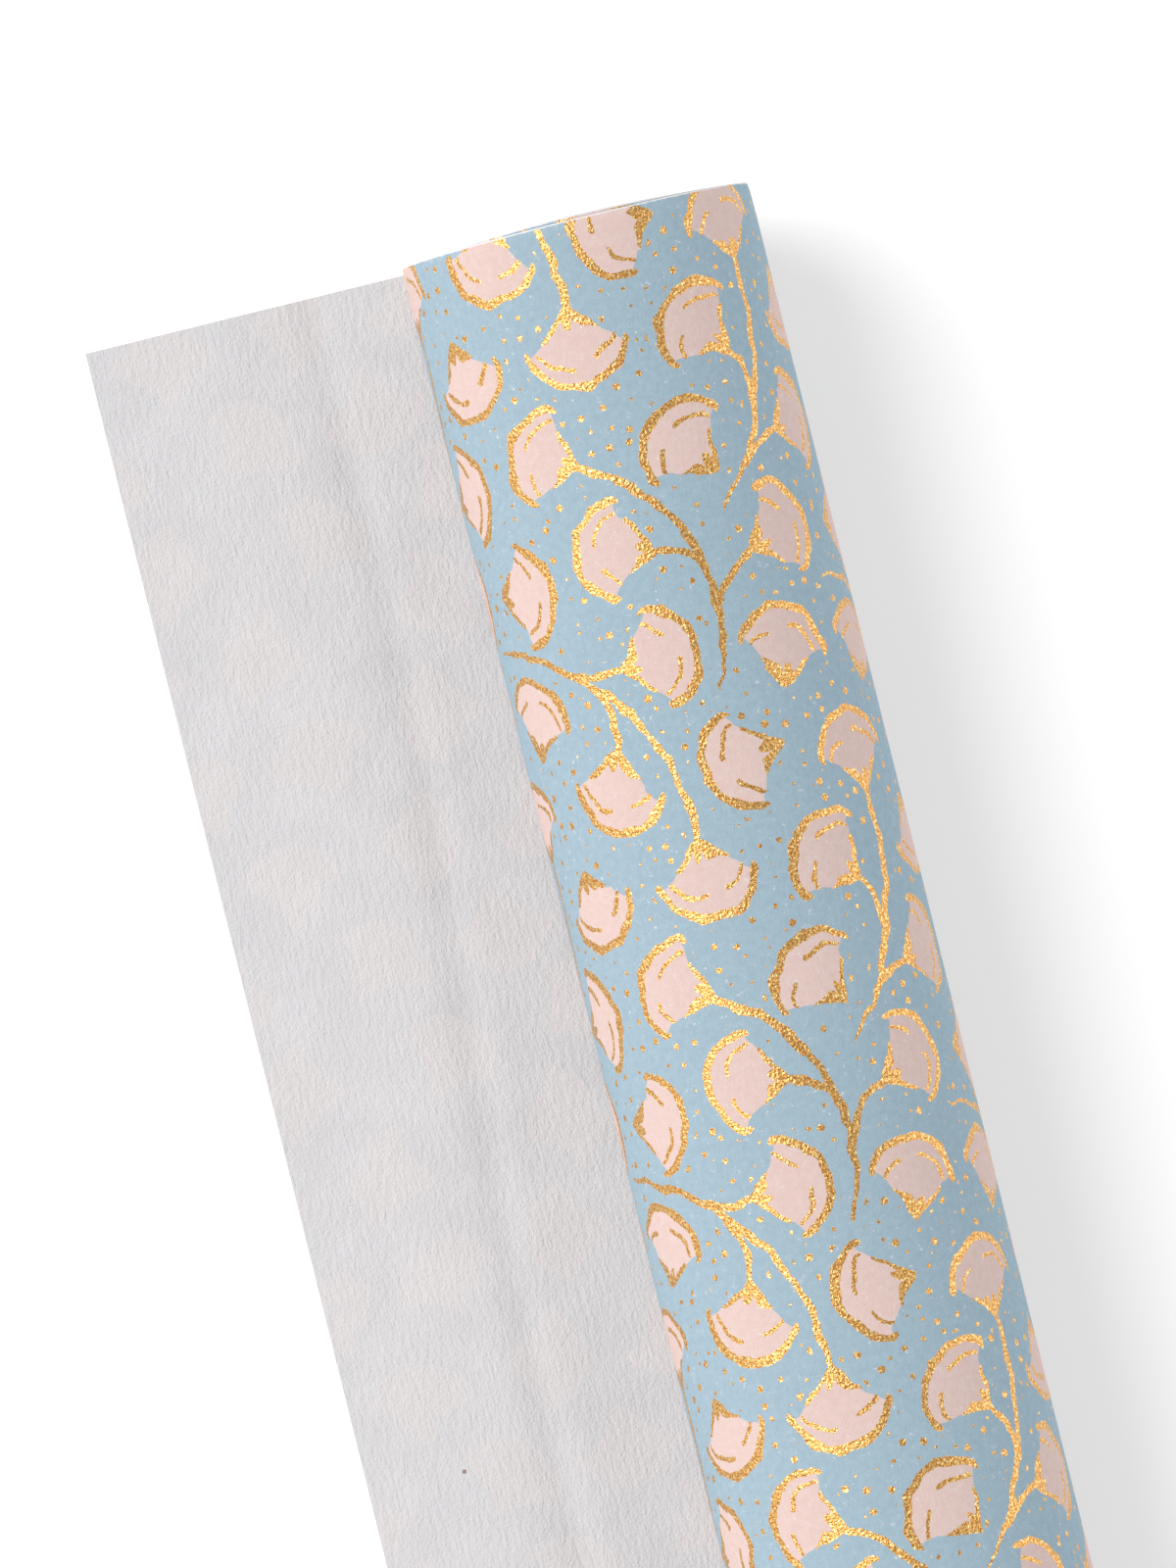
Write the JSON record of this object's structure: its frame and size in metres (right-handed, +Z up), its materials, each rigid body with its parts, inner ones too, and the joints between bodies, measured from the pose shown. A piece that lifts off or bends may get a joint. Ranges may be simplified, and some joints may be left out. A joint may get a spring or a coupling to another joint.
{
  "type": "wrapping paper roll",
  "caption": "Roll of patterned gift wrapping paper on a cardboard core, with the loose end of the sheet lying open beside the roll.",
  "frame": {"origin": "centre of the core's bore, halfway along the roll", "axes": "+Y along the roll's axis, +Z up from the table, +X towards the loose end of the sheet"},
  "size_m": [0.0958, 0.5, 0.05],
  "materials": {
    "printed_paper": "matte",
    "core_board": "matte",
    "tape": "satin"
  },
  "bodies": {
    "roll": {"core_tube": "core_board", "core_tape": "tape", "wound_sheet": "printed_paper"},
    "loose_end_01": {"loose_strip_01": "printed_paper"},
    "loose_end_02": {"loose_strip_02": "printed_paper"},
    "loose_end_03": {"loose_strip_03": "printed_paper"},
    "loose_end_04": {"loose_strip_04": "printed_paper"},
    "loose_end_05": {"loose_strip_05": "printed_paper"},
    "loose_end_06": {"loose_strip_06": "printed_paper"},
    "loose_end_07": {"loose_strip_07": "printed_paper"},
    "loose_end_08": {"loose_strip_08": "printed_paper"},
    "loose_end_09": {"loose_strip_09": "printed_paper"},
    "loose_end_10": {"loose_strip_10": "printed_paper"},
    "loose_end_11": {"loose_strip_11": "printed_paper"},
    "loose_end_12": {"loose_strip_12": "printed_paper"},
    "loose_end_13": {"loose_strip_13": "printed_paper"},
    "loose_end_14": {"loose_strip_14": "printed_paper"}
  },
  "joints": [
    {"name": "loose_end_curl", "type": "hinge", "parent": "roll", "child": "loose_end_01", "pos_m": [0.00322, 0, -0.0247], "axis": [0, -1, 0], "range_deg": [0, 10.9]},
    {"name": "curl_02", "type": "hinge", "parent": "loose_end_01", "child": "loose_end_02", "pos_m": [0.00806, 0, -0.0247], "axis": [0, -1, 0], "range_deg": [0, 10.9]},
    {"name": "curl_03", "type": "hinge", "parent": "loose_end_02", "child": "loose_end_03", "pos_m": [0.0129, 0, -0.0247], "axis": [0, -1, 0], "range_deg": [0, 10.23]},
    {"name": "curl_04", "type": "hinge", "parent": "loose_end_03", "child": "loose_end_04", "pos_m": [0.01774, 0, -0.02464], "axis": [0, -1, 0], "range_deg": [0, 9.15]},
    {"name": "curl_05", "type": "hinge", "parent": "loose_end_04", "child": "loose_end_05", "pos_m": [0.02258, 0, -0.02444], "axis": [0, -1, 0], "range_deg": [0, 8.74]},
    {"name": "curl_06", "type": "hinge", "parent": "loose_end_05", "child": "loose_end_06", "pos_m": [0.02741, 0, -0.02405], "axis": [0, -1, 0], "range_deg": [0, 9.15]},
    {"name": "curl_07", "type": "hinge", "parent": "loose_end_06", "child": "loose_end_07", "pos_m": [0.03222, 0, -0.02352], "axis": [0, -1, 0], "range_deg": [0, 10.23]},
    {"name": "curl_08", "type": "hinge", "parent": "loose_end_07", "child": "loose_end_08", "pos_m": [0.03702, 0, -0.02293], "axis": [0, -1, 0], "range_deg": [0, 11.57]},
    {"name": "curl_09", "type": "hinge", "parent": "loose_end_08", "child": "loose_end_09", "pos_m": [0.04184, 0, -0.02239], "axis": [0, -1, 0], "range_deg": [0, 12.65]},
    {"name": "curl_10", "type": "hinge", "parent": "loose_end_09", "child": "loose_end_10", "pos_m": [0.04666, 0, -0.02201], "axis": [0, -1, 0], "range_deg": [0, 13.06]},
    {"name": "curl_11", "type": "hinge", "parent": "loose_end_10", "child": "loose_end_11", "pos_m": [0.0515, 0, -0.0218], "axis": [0, -1, 0], "range_deg": [0, 12.65]},
    {"name": "curl_12", "type": "hinge", "parent": "loose_end_11", "child": "loose_end_12", "pos_m": [0.05634, 0, -0.02175], "axis": [0, -1, 0], "range_deg": [0, 11.57]},
    {"name": "curl_13", "type": "hinge", "parent": "loose_end_12", "child": "loose_end_13", "pos_m": [0.06118, 0, -0.02175], "axis": [0, -1, 0], "range_deg": [0, 10.9]},
    {"name": "curl_14", "type": "hinge", "parent": "loose_end_13", "child": "loose_end_14", "pos_m": [0.06602, 0, -0.02175], "axis": [0, -1, 0], "range_deg": [0, 10.9]}
  ],
  "couplings": [
    {"joint": "curl_02", "follows": "loose_end_curl", "ratio": 1},
    {"joint": "curl_03", "follows": "loose_end_curl", "ratio": 0.93871},
    {"joint": "curl_04", "follows": "loose_end_curl", "ratio": 0.83945},
    {"joint": "curl_05", "follows": "loose_end_curl", "ratio": 0.80156},
    {"joint": "curl_06", "follows": "loose_end_curl", "ratio": 0.83945},
    {"joint": "curl_07", "follows": "loose_end_curl", "ratio": 0.93871},
    {"joint": "curl_08", "follows": "loose_end_curl", "ratio": 1.0613},
    {"joint": "curl_09", "follows": "loose_end_curl", "ratio": 1.1605},
    {"joint": "curl_10", "follows": "loose_end_curl", "ratio": 1.1984},
    {"joint": "curl_11", "follows": "loose_end_curl", "ratio": 1.1605},
    {"joint": "curl_12", "follows": "loose_end_curl", "ratio": 1.0613},
    {"joint": "curl_13", "follows": "loose_end_curl", "ratio": 1},
    {"joint": "curl_14", "follows": "loose_end_curl", "ratio": 1}
  ]
}
